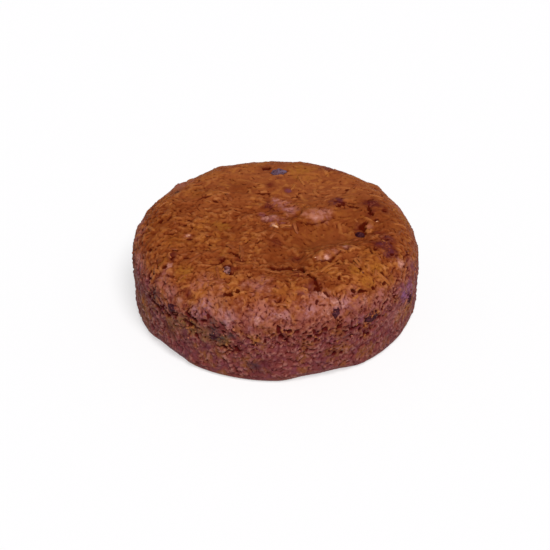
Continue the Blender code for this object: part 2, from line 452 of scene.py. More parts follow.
# Soft lumps of several sizes, with creases between the small ones
relief += 0.50 * MM * lumps(places, 15 * MM, 1) * off_base
relief += (0.70 - 0.3 * side) * MM * lumps(shaken, 7.5 * MM, 2) * off_base * rough
relief += 0.55 * MM * (np.abs(lumps(shaken, 5.2 * MM, 3)) - 0.25) * off_base * rough
relief += 0.40 * MM * (np.abs(lumps(shaken, 2.9 * MM, 4)) - 0.25) * off_base * rough

# Flat shreds and flakes of carrot that lie across each other just under the crust, each with its
# own height and tone
SHREDS = 3500
SHRED_HEIGHT = 0.85 * MM
shred_weight = (1 - 0.55 * side) * (travels < TRAVELS[2])
shred_spots = scatter(shred_weight * off_base, SHREDS, 2.1 * MM)
shreds = len(shred_spots)
shred_widths = rng.uniform(2.3, 3.9, shreds) * MM
shred_lengths = np.maximum(rng.gamma(5, 1.45, shreds) * MM, 1.3 * shred_widths)
shred_turns = rng.uniform(0, pi, shreds)
shred_bows = rng.normal(0, 0.9, shreds) * MM
shred_heights = rng.uniform(0.35, 1.0, shreds)
shred_tones = rng.uniform(0, 1, shreds)
shred, shred_here = strokes(
    shred_spots, shred_turns, shred_lengths, shred_widths, shred_bows, shred_heights, power=0.5
)
tone = np.where(shred > 0.05, shred_tones[shred_here], 0.4)
relief += SHRED_HEIGHT * shred * off_base * rough

# Between two shreds the crust dips, and in some places the dip is open and darkened with painted
# shade
SEAM_DEPTH = 0.6 * MM
busy = 0.2 + 0.8 * smooth(travels, 30 * MM, 70 * MM) + 0.5 * lumps(places, 20 * MM, 37)
busy = np.clip(busy, 0, 1)
busy *= np.clip(1 - hollow - 0.6 * back, 0, 1) * smooth(lumps(places, 4.5 * MM, 38), -0.2, 0.35)
seam = np.bincount(edge_starts, shred_here[edge_starts] < shred_here[edge_ends]) / neighbour_counts
seam = smooth(seam, 0.1, 0.45) * busy * off_base
relief -= SEAM_DEPTH * seam

# Crumb grains on the shoulder and the wall, each with its own height and tone
GRAINS = 15000
grain_weight = (0.10 + 0.9 * smooth(travels, 70 * MM, 100 * MM)) * (travels < TRAVELS[3])
grain_weight /= grain_weight.sum()
grain_spots = rng.choice(len(places), size=GRAINS, replace=False, p=grain_weight)
grain_places = places[grain_spots] + rng.normal(0, 0.35 * MM, (GRAINS, 3))
grain_tree = tree_of(grain_places)
grain_tones = rng.uniform(0, 1, GRAINS)
grain = np.empty(len(places))
crease = np.empty(len(places))
for number, place in enumerate(places):
    (_, first, near), (_, _, far) = grain_tree.find_n(place, 2)
    grain[number] = grain_tones[first]
    crease[number] = far - near
crease = 1 - smooth(crease, 0.0, 0.9 * MM)
crumbly = smooth(travels, 66 * MM, 102 * MM) * off_base
relief += crumbly * ((grain - 0.5) * 0.34 - 0.22 * crease) * MM

# Pits: dense and deep in the band where the wall tore from the tin, smaller and fewer elsewhere
PITS = 2900
PIT_DEPTH, TORN_DEPTH = 1.3, 0.9  # in mm: of a pit, and what is added where the wall is torn
# The torn places: azimuth, travel and radius
TORN = (
    (-88, 109, 6), (-86, 114, 9), (-78, 122, 7), (-74, 117, 8), (-67, 114, 9), (-66, 128, 8),
    (-59, 116, 8), (-53, 124, 8), (-50, 114, 9), (-44, 112, 6), (-36, 112, 8), (-25, 125, 8),
    (-146, 114, 7), (-152, 104, 6), (-140, 117, 8), (-134, 115, 7), (-125, 111, 8), (-118, 105, 5),
    (-125, 119, 10), (-107, 127, 7), (-98, 118, 6), (-175, 112, 12), (168, 116, 10), (150, 110, 11),
    (128, 116, 12), (108, 112, 10), (88, 118, 12), (66, 113, 10), (45, 118, 12), (25, 110, 10),
    (5, 114, 11), (-12, 112, 10),
)
torn = marked(TORN)
low = 1 - smooth(heights, 6 * MM, 20 * MM)
pit_weight = 0.42 - 0.24 * side + 0.15 * on_band * side + 2.6 * torn * side
pit_weight *= off_base * (1 - 0.7 * hollow) * (1 - 0.6 * back * (1 - side)) * (1 - 0.4 * low)
pit_weight *= 1 - smooth(gloss_and_painted_highlight, 0.05, 0.3)
pit_spots = scatter(pit_weight, PITS, 2.2 * MM)
pits = len(pit_spots)
openness = torn[pit_spots]
pit_sizes = np.clip(rng.gamma(6, 0.18, pits), 0.7, 2.4) * (1.15 + 0.6 * openness) * MM

# The largest holes: azimuth, travel, length, width and turn
HOLES = (
    # on the left of the top
    (171, 80, 4, 2.6, 10), (179, 80, 5, 3.4, 80), (176, 91, 3.4, 2.4, 0), (-178, 93, 3, 2.6, 60),
    (-176, 63, 3.4, 2.6, 160), (179, 60, 3.6, 2.4, 130), (148, 57, 6, 2.4, 10),
    (150, 49, 4, 2.4, 140), (-159, 63, 4.5, 2.8, 0), (-162, 84, 3, 2.2, 0),
    (-163, 91, 4.5, 2.4, 20), (-152, 77, 5, 2, 170), (-148, 81, 3.8, 3, 0), (-143, 75, 4, 3, 0),
    (-147, 90, 4, 3, 20), (-150, 98, 4, 3, 0), (-147, 67, 3, 2.6, 0), (-143, 59, 4, 2.4, 150),
    (95, 72, 6.5, 6.5, 0),
    # on the right
    (24, 51, 8, 2.6, 10), (22, 47, 4, 3, 0), (23, 50, 4, 2.6, 10), (32, 55, 3.4, 2.6, 150),
    (40, 66, 3, 2.6, 0), (24, 74, 4, 2.6, 0), (19, 72, 3.4, 2.6, 60), (13, 67, 4, 2.4, 110),
    (9, 67, 4, 2.4, 150), (11, 78, 3.4, 2.4, 0), (3, 70, 3, 2.6, 0), (-4, 82, 2.6, 2.4, 0),
    (-5, 61, 5, 4, 70), (-9, 62, 4, 3.4, 100), (-27, 75, 4, 2.4, 110), (-16, 79, 3, 2.2, 0),
    (-24, 81, 4, 3.2, 90), (-24, 87, 3.4, 2.6, 0), (-51, 65, 3, 3, 0), (-38, 92, 4, 2.4, 150),
    (-46, 96, 3, 2.8, 0), (-79, 63, 5, 2.4, 0), (-51, 94, 6.5, 1.9, 0), (-55, 92, 3.4, 3, 150),
    (-40, 97, 4, 2.6, 30), (-45, 79, 3, 2.6, 0), (-58, 79, 6, 2.6, 90),
    # in front
    (-120, 50, 5, 3, 155), (-115, 69, 4, 4, 0), (-120, 63, 3.6, 3.4, 0), (-105, 68, 3.4, 2.4, 0),
    (-111, 87, 7.5, 2.8, 25), (-107, 83, 3.4, 3.4, 0), (-71, 83, 5, 4, 0), (-68, 88, 6, 2.4, 150),
    (-73, 92, 4.5, 2, 90),
    # where the shoulder tore from the wall
    (-66, 103, 4.5, 3, 50), (-22, 129, 2.6, 2.2, 60), (-149, 116, 5, 2.8, 0),
    (-146, 117, 5.5, 2.8, 0), (-143, 118, 5.5, 2.8, 0), (-140, 120, 5, 3, 0),
    (-144, 123, 4, 2.4, 30), (-136, 119, 5, 3, 10), (-132, 118, 4, 2.4, 150),
    (-126, 111, 6, 3, 160), (-123, 113, 6, 2.8, 150), (-117, 106, 4.5, 2.4, 110),
    (-88, 115, 4.5, 3, 150), (-85, 111, 4, 2.6, 20), (-86, 118, 4, 2.6, 100),
    (-79, 113, 4, 2.4, 30), (-77, 117, 4, 2.6, 60), (-71, 112, 4, 2.8, 30), (-66, 113, 4, 3, 90),
    (-59, 117, 5, 2.8, 20), (-56, 121, 4, 2.8, 120), (-52, 128, 4, 3, 140), (-53, 116, 5, 2.8, 60),
    (-46, 118, 5, 2.8, 20), (-60, 124, 3.6, 2.4, 70), (-110, 128, 5.5, 2.6, 165),
    (-105, 128, 5.5, 2.8, 150), (-122, 125, 4, 2.6, 20), (-98, 122, 4, 2.2, 20),
    (-94, 118, 4, 2.2, 100), (-42, 110, 4.5, 2.8, 40), (-36, 111, 4, 2.4, 0), (-67, 135, 3, 2.6, 0),
    (-64, 135, 3, 2.6, 60), (-152, 104, 4, 2.4, 50),
    # round the back
    (70, 112, 5, 3, 30), (110, 116, 4, 3, 80), (160, 112, 5, 3, 20), (25, 108, 4, 3, 100),
    (-175, 118, 5, 2.6, 10), (5, 116, 4.5, 2.6, 40), (50, 122, 4, 2.6, 70), (135, 108, 4.5, 2.6, 0),
)
HOLE_BOW = 0.3 * MM
HOLE_DEPTH = 0.6  # as a share of the width
hole_azimuths, hole_travels, hole_lengths, hole_widths, hole_turns = np.array(HOLES).T
hole_widths = hole_widths * MM
holes, hole_here = strokes(
    [crust_tree.find(spot_at(*spot))[1] for spot in zip(hole_azimuths, hole_travels)],
    np.radians(hole_turns),
    hole_lengths * MM,
    hole_widths,
    [HOLE_BOW] * len(HOLES),
    [1.0] * len(HOLES),
    power=0.7,
)
relief -= HOLE_DEPTH * hole_widths[hole_here] * holes
# The holes are darkened with painted shade
pit = np.maximum(pit, holes)

small_holes, _ = strokes(
    pit_spots,
    rng.uniform(0, pi, pits),
    np.maximum(pit_sizes * rng.uniform(1.0, 2.0, pits) * (1.8 - 0.8 * side[pit_spots]), 1.6 * MM),
    np.maximum(pit_sizes * (0.8 + 0.2 * side[pit_spots]), 1.3 * MM),
    rng.normal(0, 0.4, pits) * MM,
    rng.uniform(0.4, 1.0, pits) * (0.7 + 0.3 * openness),
)
relief -= (PIT_DEPTH + TORN_DEPTH * torn) * MM * small_holes * off_base
# The small pits are darkened with painted shade too
pit = np.maximum(pit, small_holes)

# The torn line where the shoulder broke away from the wall: level tears, one after another
TEARS = 60
TEAR_DEPTH = 2.0 * MM
tear_azimuths = np.sort(rng.uniform(-pi, pi, TEARS))
tear_heights = (39.0 + 4.0 * np.sin(3 * tear_azimuths + 0.6) + rng.normal(0, 2.6, TEARS)) * MM
tear_spots = [
    crust_tree.find(Vector((CAKE_RADIUS * cos(a), CAKE_RADIUS * sin(a), z)))[1]
    for a, z in zip(tear_azimuths, tear_heights)
]
tears, _ = strokes(
    tear_spots,
    rng.normal(0, 0.45, TEARS),
    rng.uniform(3, 7, TEARS) * MM,
    rng.uniform(1.4, 2.2, TEARS) * MM,
    rng.normal(0, 0.8, TEARS) * MM,
    rng.uniform(0.35, 1.0, TEARS),
)
relief -= TEAR_DEPTH * tears * off_base
# The tears are darkened with painted shade
pit = np.maximum(pit, tears)

# Each raisin shows through a ragged opening. Its own axes come from the CAD solid's points.
RAISINS = sorted(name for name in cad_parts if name.startswith("raisin_"))
# These lie under a skin of baked batter
COVERED = {"raisin_04", "raisin_05", "raisin_06", "raisin_10", "raisin_12"}
SHOWN = {  # how much of it shows, where that isn't the usual share
    "raisin_01": 1.05,
    "raisin_02": 1.05,
    "raisin_03": 1.05,
    "raisin_07": 0.32,
    "raisin_08": 0.48,
}
USUALLY_SHOWN = 0.68
# How dark the painted shade in the gap round each raisin is
RIM_SHADES = {"raisin_01": 0.4}  # how dark the gap round it is, where that isn't the usual
USUAL_RIM_SHADE = 0.9
OPENING_DEPTH = 1.9 * MM
opening = np.zeros(len(places))
rim_shade = np.zeros(len(places))
for name in RAISINS:
    own = np.array([v.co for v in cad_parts[name].data.vertices])
    middle = own.mean(axis=0)
    _, _, axes = np.linalg.svd(own - middle, full_matrices=False)
    halves = np.abs((own - middle) @ axes.T).max(axis=0)
    reach = np.linalg.norm(((shaken - middle) @ axes.T) / halves, axis=1)
    reach = reach / SHOWN.get(name, USUALLY_SHOWN) + 0.25 * lumps(places, 3.2 * MM, 51)
    opening = np.maximum(opening, 1 - smooth(reach, 0.75, 1.08))
    rim_shade = np.maximum(rim_shade, RIM_SHADES.get(name, USUAL_RIM_SHADE) * (1 - smooth(reach, 1.0, 1.25)))
    relief += 0.3 * MM * np.exp(-(((reach - 1.25) / 0.25) ** 2))
relief = relief * (1 - 0.6 * opening) - OPENING_DEPTH * opening
relief -= (relief[off_base > 0.9].mean() + (0.4 + 0.5 * side) * MM) * off_base
# The gaps round the raisins are darkened with painted shade
pit = np.maximum(pit, 0.8 * rim_shade * (0.5 + 0.5 * broken))

# Stains, and patches of painted light: azimuth and travel of the middle, and radius
STAINS = {
    "olive": ((-129, 119, 9), (-123, 120, 9), (-117, 122, 8), (-110, 122, 7), (-134, 124, 7)),
    "ochre": (
        (-98, 116, 6), (-48, 113, 4), (-169, 37, 7), (-150, 88, 7), (-136, 84, 9), (-31, 56, 5),
        (-26, 134, 9), (-33, 130, 7), (-113, 95, 9), (-47, 79, 8), (-38, 87, 8), (-36, 98, 4),
        (-47, 92, 8), (-20, 120, 8), (45, 125, 10), (120, 124, 10), (160, 126, 10), (75, 70, 12),
        (10, 95, 10), (-155, 128, 9), (85, 104, 9),
    ),
    "red": (
        (-152, 90, 4), (20, 72, 9), (96, 71, 6), (9, 67, 5), (11, 78, 5), (30, 50, 6), (-77, 66, 6),
        (-4, 57, 5), (-37, 97, 4), (-21, 77, 10), (-16, 79, 7), (-10, 72, 5), (-22, 84, 8),
        (-149, 81, 6), (-146, 89, 4), (-89, 25, 6), (104, 20, 4), (22, 15, 3), (-22, 15, 4),
        (-73, 44, 6), (-129, 96, 4), (-60, 104, 5), (150, 100, 8), (60, 84, 10), (-160, 107, 5),
        (95, 48, 6), (77, 43, 5), (-118, 66, 7), (-127, 60, 5), (-118, 52, 5), (-71, 78, 7),
        (-73, 83, 6),
    ),
    "plum": (
        (30, 50, 7), (88, 57, 3.5), (-62, 122, 5), (-64, 119, 6), (-73, 115, 5), (-136, 131, 8),
        (-126, 130, 6), (-20, 79, 9), (-22, 84, 8), (19, 72, 7), (109, 21, 6), (101, 27, 4),
        (105, 15, 4), (-30, 2, 2), (-149, 81, 4), (-86, 114, 7), (-67, 113, 5), (-58, 117, 6),
        (-50, 115, 6), (-53, 125, 6), (-146, 114, 5), (-140, 117, 6), (-134, 115, 6),
        (-125, 110, 5), (-118, 104, 4), (-67, 132, 7), (-96, 140, 10), (-105, 126, 6),
        (165, 112, 9), (130, 118, 8), (92, 118, 9), (62, 110, 7), (40, 120, 8), (8, 114, 9),
        (-170, 110, 7),
    ),
    "violet": (
        (77, 42, 3), (-65, 100, 5), (-62, 109, 3), (-118, 104, 5), (-122, 108, 6), (-161, 109, 5),
        (-151, 107, 5), (-56, 113, 5), (-19, 104, 6), (-31, 112, 7), (-24, 125, 6), (-17, 112, 5),
        (135, 13, 3), (180, 3, 3), (70, 110, 10), (140, 118, 10), (178, 112, 9), (20, 118, 9),
        (100, 112, 9),
    ),
    # Lavender patches at the right rim: a painted lavender reflection
    "painted_lavender_reflection": (
        (-21, 124, 6), (-25, 122, 6), (-30, 116, 5), (-28, 120, 6), (-25, 115, 6), (-23, 121, 6),
    ),
    # Lilac patches on the front shoulder and beside the knob: a painted lavender sheen
    "lilac": (
        (-97, 102, 5), (-76, 98, 5), (-90, 100, 4), (-65, 98, 5), (-86, 100, 5), (-123, 104, 5),
        (-109, 105, 5), (-109, 101, 8), (-107, 106, 6), (-100, 110, 3), (-119, 99, 6), (-63, 98, 6),
        (-65, 95, 5), (-14, 124, 6), (105, 4, 3.5), (152, 7, 4), (90, 29, 3.5), (60, 18, 4),
        (125, 104, 7), (55, 102, 8), (170, 100, 7),
    ),
    "slate": (
        (-114, 115, 7), (-112, 120, 6), (-145, 110, 6), (-114, 119, 5), (-115, 109, 4),
        (-110, 108, 4), (-107, 116, 4), (150, 81, 4), (-98, 140, 5), (65, 116, 7), (120, 110, 7),
        (170, 120, 7),
    ),
    # Broad dark patches: painted shade of the hollow and the middle of the top, with a redder tone
    # in it
    "painted_shade_and_red_tone": (
        (146, 67, 9), (-139, 78, 8), (-166, 89, 6), (-154, 83, 5), (-92, 106, 4), (-51, 63, 6),
        (-167, 70, 12), (-177, 77, 10), (-156, 63, 9), (-30, 24, 36), (8, 66, 32), (-22, 58, 18),
        (-68, 54, 12), (-66, 84, 7), (-160, 36, 16), (-88, 40, 14), (120, 50, 14), (-84, 55, 14),
        (0, 12, 22), (178, 82, 14), (167, 70, 12),
    ),
    "mauve": (
        (-158, 118, 9), (-20, 79, 8), (-24, 84, 7), (-14, 77, 7), (30, 50, 8), (-130, 142, 12),
        (-96, 140, 10), (-72, 141, 9), (-40, 140, 8), (-12, 142, 9), (60, 140, 12), (110, 142, 12),
        (160, 140, 12),
    ),
    # Pinkish patches, mostly round the shoulder: a painted sheen
    "rose": (
        (-42, 112, 5), (-152, 104, 4), (-138, 114, 4), (-86, 107, 5), (-152, 105, 6),
        (-161, 103, 6), (-59, 111, 5), (-48, 107, 6), (-101, 102, 5), (-98, 113, 4), (-108, 112, 4),
        (-42, 111, 6), (-36, 108, 6), (-166, 105, 8), (-123, 108, 4), (-34, 126, 8), (-38, 128, 7),
        (-28, 129, 7), (-98, 76, 12), (-124, 83, 8), (-75, 95, 16), (-95, 98, 15), (-115, 98, 12),
        (-58, 98, 12), (-137, 101, 7), (-44, 103, 8), (-143, 96, 8), (-127, 90, 6), (80, 24, 9),
        (55, 19, 7), (12, 31, 9), (20, 98, 13), (60, 95, 15), (100, 98, 14), (140, 94, 15),
        (180, 98, 8), (-8, 3, 6),
    ),
    # Small pale spots: painted glints
    "pale": (
        (-110, 6, 2.5), (-97, 103, 2.5), (-36, 58, 2.5), (-69, 101, 2.5), (-52, 101, 2.5),
        (-108, 105, 2.5), (-166, 105, 3), (-89, 100, 2.5), (-71, 86, 3), (-69, 89, 3), (-65, 95, 4),
        (-63, 98, 2.5), (-25, 96, 4), (-138, 102, 3), (-131, 103, 3), (150, 92, 4), (40, 96, 4),
        (-95, 6, 2.5), (-54, 57, 2.5), (-163, 62, 2), (152, 7, 2), (-145, 87, 2.5),
    ),
    "amber": (
        (-124, 83, 9), (-126, 90, 8), (-122, 73, 8), (-66, 115, 6), (-62, 107, 5), (-92, 105, 3),
        (-85, 114, 4), (-29, 71, 3), (-47, 84, 9), (-38, 82, 10), (-31, 73, 9), (-152, 98, 6),
        (-160, 72, 12), (-113, 97, 7), (-53, 120, 4), (20, 112, 5), (84, 114, 5), (140, 112, 5),
        (178, 116, 5),
    ),
}
stains = {kind: marked(marks) for kind, marks in STAINS.items()}

# proud also sets painted shade in dips and a painted highlight on ridges in the finish
proud = np.clip((relief - evened(relief, 8)) / (0.45 * MM), -1, 1)  # 1 on ridges, -1 in dips

bed = places + outwards * evened(relief, 6)[:, None]  # the crust without its small dips
places = places + outwards * relief[:, None]
places[:, 2] = np.maximum(places[:, 2], 0)
crust_mesh.vertices.foreach_set("co", places.ravel())
crust_mesh.update()

WORN = {
    "pit": pit, "tone": tone, "grain": grain, "proud": proud, "side": side, "gloss_and_painted_highlight": gloss_and_painted_highlight,
    "seam": seam, "torn": torn, "calm": calm, **stains,
}
for name, values in WORN.items():
    store(crust_mesh, name, values)

# The map: the top and shoulder as one disc, the wall in four strips, and the base made smaller
SHEET = 330 * MM
WALL_STRIPS = 4
WALL_STRIP_WIDTH = 47 * MM
WALL_STRIPS_START = 236 * MM
BASE_MIDDLE = 282 * MM
BASE_SCALE = 0.45
MARGIN = 2 * MM
face_travels = travels[crust_faces]
face_azimuths = azimuths[crust_faces]
face_cos, face_sin = np.cos(face_azimuths), np.sin(face_azimuths)
middle_travel = face_travels.mean(axis=1, keepdims=True)
flat_azimuths = np.arctan2(face_sin.mean(axis=1), face_cos.mean(axis=1))[:, None]
strip = np.floor((flat_azimuths + pi) / (2 * pi / WALL_STRIPS)).clip(0, WALL_STRIPS - 1)
within = (face_azimuths + pi - (strip + 0.5) * 2 * pi / WALL_STRIPS + pi) % (2 * pi) - pi
disc = np.stack((face_travels * face_cos, face_travels * face_sin), axis=2)
disc_map = disc + (TRAVELS[1] + MARGIN)
wall_along = CAKE_RADIUS * (within + pi / WALL_STRIPS) + MARGIN
wall_up = WALL_STRIPS_START + TRAVELS[3] - face_travels + MARGIN
wall_map = np.where(
    strip[:, :, None] < 2,
    np.stack((strip * WALL_STRIP_WIDTH + wall_up, wall_along), axis=2),
    np.stack((wall_along, (strip - 2) * WALL_STRIP_WIDTH + wall_up), axis=2),
)
from_middle = TRAVELS[4] - face_travels
base_disc = np.stack((from_middle * face_cos, from_middle * face_sin), axis=2)
base_map = base_disc * BASE_SCALE + BASE_MIDDLE
face_map = np.where(
    middle_travel[:, :, None] < TRAVELS[1],
    disc_map,
    np.where(middle_travel[:, :, None] < TRAVELS[3], wall_map, base_map),
)
crust_map = crust_mesh.uv_layers.new(name="OFBake")
crust_map.data.foreach_set("uv", (face_map / SHEET).ravel())


class Wire:
    """A socket of a material's nodes. Sums with wires add Math nodes."""

    def __init__(self, socket):
        self.socket = socket

    def node(self, kind, settings, sockets, output=0):
        """Adds a node with its settings, feeds its sockets values or wires, and gives an output."""
        made = self.socket.id_data.nodes.new(kind)
        for name, value in settings.items():
            setattr(made, name, value)
        for name, value in sockets.items():
            if isinstance(value, Wire):
                self.socket.id_data.links.new(value.socket, made.inputs[name])
            else:
                made.inputs[name].default_value = value
        return Wire(made.outputs[output])

    def math(self, operation, *values):
        return self.node("ShaderNodeMath", {"operation": operation}, dict(enumerate(values)))

    def __add__(self, other):
        return self.math("ADD", self, other)

    def __radd__(self, other):
        return self.math("ADD", other, self)

    def __sub__(self, other):
        return self.math("SUBTRACT", self, other)

    def __rsub__(self, other):
        return self.math("SUBTRACT", other, self)

    def __mul__(self, other):
        return self.math("MULTIPLY", self, other)

    def __rmul__(self, other):
        return self.math("MULTIPLY", other, self)

    def held(self):
        """The wire's value, kept between 0 and 1."""
        settings = {"operation": "ADD", "use_clamp": True}
        return self.node("ShaderNodeMath", settings, {0: self, 1: 0.0})

    def step(self, low, high):
        """0 below low, 1 above high, and a soft step between."""
        settings = {"interpolation_type": "SMOOTHSTEP"}
        return self.node("ShaderNodeMapRange", settings, {0: self, 1: low, 2: high})

    def mix(self, first, second):
        """The first colour where the wire is 0, and the second where it is 1."""
        settings = {"data_type": "RGBA"}
        return self.node("ShaderNodeMix", settings, {0: self, 6: first, 7: second}, output=2)

    def speckle(self, size, detail, roughness=0.5, distortion=0.0):
        """Noise from 0 to 1 with spots of the given size, read at the place this wire gives."""
        sockets = {"Detail": detail, "Roughness": roughness, "Distortion": distortion}
        return self.node("ShaderNodeTexNoise", {}, {"Vector": self, "Scale": 1 / size, **sockets})

    def cells(self, size, output=0):
        """Distance to the nearest of many scattered points, or their random colours (output 1)."""
        return self.node("ShaderNodeTexVoronoi", {}, {"Vector": self, "Scale": 1 / size}, output)


def colour(red, green, blue):
    """A linear colour with alpha from the 0 to 255 values a screen shows."""
    shown = np.array((red, green, blue)) / 255
    linear = np.where(shown <= 0.04045, shown / 12.92, ((shown + 0.055) / 1.055) ** 2.4)
    return (*linear.tolist(), 1.0)


def new_finish(name, **uniform):
    """A Principled material with its uniform values set, its shader, and a wire of the place."""
    finish = bpy.data.materials.new(name)
    finish.use_nodes = True
    nodes = finish.node_tree.nodes
    shader = nodes["Principled BSDF"]
    for socket, value in uniform.items():
        shader.inputs[socket.replace("_", " ")].default_value = value
    place = Wire(nodes.new("ShaderNodeTexCoord").outputs["Object"])
    return finish, shader, place


def dress(shader, skin, roughness, shine, height, strength, depth):
    """Feeds a shader its colour, its roughness, its shine, and bumps from a height."""
    sockets = {"Strength": strength, "Distance": depth, "Height": height}
    bump = height.node("ShaderNodeBump", {}, sockets)
    wires = (skin, roughness.held(), shine.held(), bump)
    for socket, wire in zip(("Base Color", "Roughness", "Coat Weight", "Normal"), wires):
        shader.id_data.links.new(wire.socket, shader.inputs[socket])


def attribute(place, name):
    settings = {"attribute_name": name, "attribute_type": "GEOMETRY"}
    return place.node("ShaderNodeAttribute", settings, {}, output=2)


TOP_BROWN = colour(133, 68, 31)
TOP_GOLD = colour(150, 86, 32)
# A painted sheen for the calm parts of the top
TOP_PAINTED_SHEEN = colour(160, 92, 58)
TOP_RUST = colour(100, 33, 4)
TOP_PALE = colour(176, 111, 66)
# The wall's colours are set darker than the top's partly as painted shade of the upright wall
WALL_BROWN = colour(111, 52, 48)
WALL_PLUM = colour(80, 28, 35)
WALL_PALE = colour(145, 92, 82)
WALL_OCHRE = colour(122, 70, 34)
WALL_MAUVE = colour(104, 50, 62)
# Painted shade for the dips between shreds
SEAM_SHADE = colour(80, 20, 3)
# Painted shade for pits, cracks and dips: on the top, and on the wall
TOP_PIT_SHADE = colour(66, 6, 0)
WALL_PIT_SHADE = colour(72, 10, 11)
NET_GOLD = colour(158, 95, 34)  # the walls left between the torn pits
FINE_PIT = 1.7 * MM
# How each stain, each patch of painted light, and the glaze with its painted highlight, looks: its
# colour, how strong it is, and how much it breaks up
STAIN_LOOKS = {
    "olive": (colour(112, 78, 38), 0.75, 0.5),
    # painted shade with a redder tone
    "painted_shade_and_red_tone": (colour(106, 44, 12), 0.6, 0.3),
    "ochre": (colour(144, 88, 30), 0.7, 0.7),
    "amber": (colour(154, 88, 30), 0.5, 0.7),
    "red": (colour(86, 22, 14), 0.9, 0.4),
    "plum": (colour(72, 18, 22), 0.7, 0.7),
    "violet": (colour(110, 62, 82), 0.6, 0.6),
    # a painted lavender reflection
    "painted_lavender_reflection": (colour(120, 74, 110), 0.78, 0.5),
    "slate": (colour(50, 38, 40), 0.85, 0.6),
    "mauve": (colour(88, 40, 50), 0.55, 0.75),
    # a painted sheen
    "rose": (colour(154, 95, 92), 0.5, 0.8),
    # a painted lavender sheen
    "lilac": (colour(156, 108, 114), 0.5, 0.85),
    # The glaze's colour is a pinkish painted highlight on the glazed fronts
    "gloss_and_painted_highlight": (colour(176, 112, 92), 0.6, 0.8),
    # painted glints
    "pale": (colour(194, 138, 124), 0.7, 0.6),
}


def browned(place, tone, proud, calm=0.0):
    """The colour of the baked top: gold and brown patches, with painted shade in dips and a painted
    highlight on ridges.
    """
    broad = place.speckle(26 * MM, 2)
    patch = place.speckle(7 * MM, 3, 0.6, 0.8)
    fine = 0.5 + (place.speckle(2.2 * MM, 2, 0.6) - 0.5) * (1 - 0.8 * calm)
    gold = ((broad + 0.7 * patch + 0.5 * tone - 1.05) * 2.0).held()
    # Dips are made rustier as painted shade
    rust = ((0.58 - patch) * 2.6 + (0.42 - tone) * 1.1 + (0.5 - fine) * 1.1 - 0.4 * proud).held()
    skin = gold.mix(TOP_BROWN, TOP_GOLD)
    skin = (rust * (0.75 - 0.25 * calm)).mix(skin, TOP_RUST)
    # Ridges are made paler as a painted highlight, beside random pale tone
    return ((fine - 0.55) * 1.1 + (tone - 0.7) * 0.6 + 0.35 * proud).held().mix(skin, TOP_PALE)


def crust_finish():
    finish, shader, place = new_finish(
        "crust_finish",
        Specular_IOR_Level=0.07,
        Coat_Roughness=0.3,
        Specular_Tint=colour(255, 220, 190),
    )
    worn = {name: attribute(place, name) for name in WORN}
    pit, tone, grain, proud, side, seam, calm = (
        worn[name] for name in ("pit", "tone", "grain", "proud", "side", "seam", "calm")
    )
    patch = place.speckle(7 * MM, 3, 0.6, 0.8)
    fine = place.speckle(2.2 * MM, 3, 0.55)
    dust = place.speckle(0.7 * MM, 2, 0.6)
    # Small pits that the mesh is too coarse for, bumped in and darkened with painted shade
    chance = place.node("ShaderNodeSeparateColor", {}, {0: place.cells(FINE_PIT, output=1)})
    tiny = (1 - place.cells(FINE_PIT).step(0.16, 0.34)) * chance.step(0.5, 0.8)
    tiny = tiny * (0.35 + 0.65 * side) * (1 - 0.8 * calm)

    # The wall is plummier in dips as painted shade, and paler on ridges as a painted highlight
    wall = ((0.55 - patch) * 3.2 + (0.4 - tone) * 1.2 - 0.3 * proud).held()
    wall = wall.mix(WALL_BROWN, WALL_PLUM)
    wall = (place.speckle(12 * MM, 3, 0.6).step(0.48, 0.62) * 0.75).mix(wall, WALL_OCHRE)
    wall = (place.speckle(9 * MM, 3, 0.6, 1.0).step(0.5, 0.64) * 0.6).mix(wall, WALL_MAUVE)
    wall = ((grain - 0.62) * 1.2 + (fine - 0.5) * 1.4 + 0.4 * proud).held().mix(wall, WALL_PALE)
    # A painted sheen over the calm back and the bed of the hollow of the top
    skin = side.mix((calm * 0.14).mix(browned(place, tone, proud, calm), TOP_PAINTED_SHEEN), wall)
    # Painted shade in the open dips between shreds
    skin = (seam * fine.step(0.35, 0.55) * 0.7).mix(skin, SEAM_SHADE)
    for name, (tint, strength, breaks) in STAIN_LOOKS.items():
        crumbs = 1 - breaks + breaks * (0.5 * patch + 0.5 * fine).step(0.42, 0.56)
        skin = (worn[name] * crumbs * strength).held().mix(skin, tint)
    net = worn["torn"] * side * (grain - 0.55).step(0.0, 0.35) * patch.step(0.42, 0.58) * (1 - pit)
    skin = (net * 0.7).held().mix(skin, NET_GOLD)
    # Painted shade in the pits, the fine pits and the dips between ridges
    dip_shade = (0 - proud).step(0.25, 1.0)
    painted_shade = (pit.step(0.05, 0.7) + tiny * 0.4 + dip_shade * (0.3 + 0.2 * side)).held()
    skin = (painted_shade * 0.92).mix(skin, side.mix(TOP_PIT_SHADE, WALL_PIT_SHADE))
    roughness = 0.62 - 0.2 * worn["gloss_and_painted_highlight"] + 0.16 * (dust - 0.5) + 0.4 * pit
    sheen = (0.03 + 0.3 * proud.step(0.0, 1.0) * fine.step(0.45, 0.7)) * (0.4 + 0.6 * side)
    shine = (worn["gloss_and_painted_highlight"] * 0.12 + sheen) * (1 - pit)
    height = (0.45 * fine + 0.12 * dust) * (0.7 + 0.3 * side - 0.5 * calm)
    height = height - 0.6 * tiny + 0.3 * patch
    dress(shader, skin, roughness, shine, height, 0.65, 0.6 * MM)
    return finish


def new_piece(name, mesh, finish):
    """A visible piece of the cake, which stands still with it."""
    mesh.materials.append(finish)
    piece = bpy.data.objects.new(name, mesh)
    bpy.context.scene.collection.objects.link(piece)
    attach(piece, "root")
    return piece


crust = new_piece("crust", crust_mesh, crust_finish())
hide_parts("carrot_cake")


